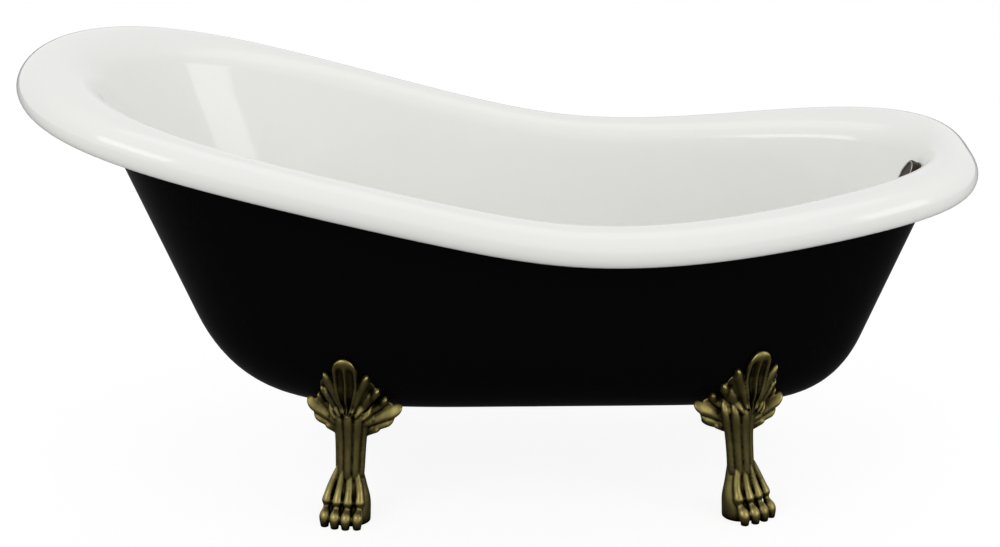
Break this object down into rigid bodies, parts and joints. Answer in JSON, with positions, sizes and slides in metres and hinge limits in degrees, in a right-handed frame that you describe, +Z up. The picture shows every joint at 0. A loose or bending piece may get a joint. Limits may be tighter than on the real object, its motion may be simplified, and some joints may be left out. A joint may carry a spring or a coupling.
{
  "type": "clawfoot bathtub",
  "caption": "Freestanding slipper bathtub: white basin with a rolled rim in a black skirt, on cast claw feet, with pop-up waste and overflow knob.",
  "frame": {"origin": "on the floor below the middle of the tub's box", "axes": "+X towards the low foot end with the overflow, +Y across the tub, +Z up; the front seen in the picture faces -Y"},
  "size_m": [1.7, 0.779, 0.8059],
  "materials": {
    "acrylic_white": "polished white sanitary acrylic",
    "acrylic_black": "polished black acrylic",
    "board": "raw timber board",
    "antique_brass": "cast and antiqued, dark in the hollows",
    "steel": "zinc plated",
    "dark_bronze": "oil rubbed bronze",
    "ring_metal": "bright trim line",
    "rubber": "moulded seal",
    "pipe_plastic": "moulded waste plastic"
  },
  "bodies": {
    "tub": {"inner_basin": "acrylic_white", "outer_skirt": "acrylic_black", "base_board": "board", "foot_block_front_head_end": "board", "foot_block_rear_head_end": "board", "foot_block_front_foot_end": "board", "foot_block_rear_foot_end": "board", "claw_foot_front_head_end": "antique_brass", "claw_foot_rear_head_end": "antique_brass", "claw_foot_front_foot_end": "antique_brass", "claw_foot_rear_foot_end": "antique_brass", "foot_bolts": "steel", "foot_washers": "steel", "drain_flange": "dark_bronze", "upper_gasket": "rubber", "lower_gasket": "rubber", "waste_locknut": "pipe_plastic", "waste_body": "pipe_plastic", "overflow_collar": "dark_bronze", "overflow_gasket": "rubber", "overflow_elbow": "pipe_plastic", "overflow_pipe": "pipe_plastic", "pipe_nut_upper": "pipe_plastic", "pipe_nut_lower": "pipe_plastic"},
    "knob": {"overflow_knob": "dark_bronze", "knob_ring": "ring_metal", "knob_shaft": "steel"},
    "plug": {"drain_plug": "dark_bronze", "plug_seal": "rubber", "plug_stem": "steel"}
  },
  "joints": [
    {"name": "knob_turn", "type": "hinge", "parent": "tub", "child": "knob", "pos_m": [0.74519, 0, 0.566], "axis": [-0.8918, 0, 0.4525], "range_deg": [0, 90]},
    {"name": "plug_lift", "type": "slide", "parent": "tub", "child": "plug", "axis": [0, 0, 1], "range_m": [0, 0.009]}
  ],
  "couplings": [
    {"joint": "plug_lift", "follows": "knob_turn", "m_per_rad": 0.005729}
  ]
}
